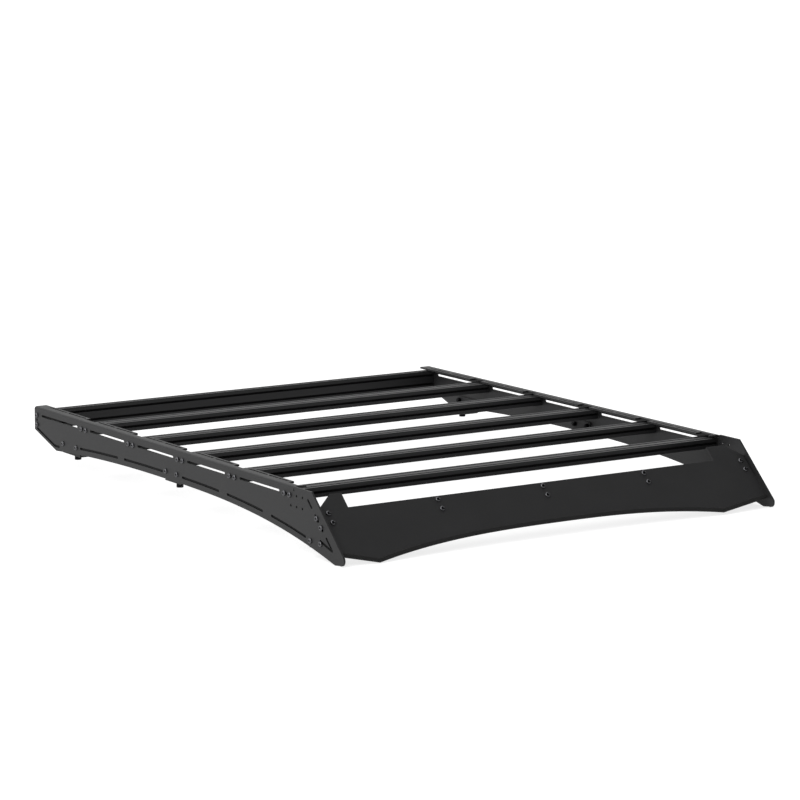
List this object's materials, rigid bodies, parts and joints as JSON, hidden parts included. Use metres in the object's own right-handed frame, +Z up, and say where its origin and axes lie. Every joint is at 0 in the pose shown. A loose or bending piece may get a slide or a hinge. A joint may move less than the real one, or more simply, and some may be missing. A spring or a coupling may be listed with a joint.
{
  "type": "platform roof rack",
  "caption": "Flat platform roof rack: slotted crossbars between two bent side plates, with a sloped front fairing, a lamp cut-out and bolt-down feet.",
  "frame": {"origin": "centre of the bounding box's bottom face, on the surface the rack stands on", "axes": "+X across the rack to its right, +Y along it towards the rear, +Z up; the fairing faces -Y"},
  "size_m": [1.288, 1.581, 0.1574],
  "materials": {
    "plate_coat": "fine-textured matte black powder coat",
    "bar_coat": "satin black, lightly drawn along the bar",
    "fairing_coat": "fine-textured matte black powder coat",
    "bracket_coat": "fine-textured matte black powder coat",
    "spacer_coat": "turned, black anodised",
    "edge_rubber": "matte black rubber"
  },
  "bodies": {
    "root": {"side_plate_left": "plate_coat", "side_plate_right": "plate_coat", "crossbar_1": "bar_coat", "crossbar_2": "bar_coat", "crossbar_3": "bar_coat", "crossbar_4": "bar_coat", "crossbar_5": "bar_coat", "crossbar_rear": "bar_coat", "fairing": "fairing_coat", "fairing_trim": "edge_rubber", "fairing_bracket_left": "bracket_coat", "fairing_bracket_right": "bracket_coat", "fairing_strap_left": "bracket_coat", "fairing_strap_middle": "bracket_coat", "fairing_strap_right": "bracket_coat", "foot_front_left": "bracket_coat", "foot_front_right": "bracket_coat", "foot_middle_left": "bracket_coat", "foot_middle_right": "bracket_coat", "foot_rear_left": "bracket_coat", "foot_rear_right": "bracket_coat", "spacer_front_left": "spacer_coat", "spacer_front_right": "spacer_coat", "spacer_middle_left": "spacer_coat", "spacer_middle_right": "spacer_coat", "spacer_rear_left": "spacer_coat", "spacer_rear_right": "spacer_coat"}
  },
  "joints": []
}
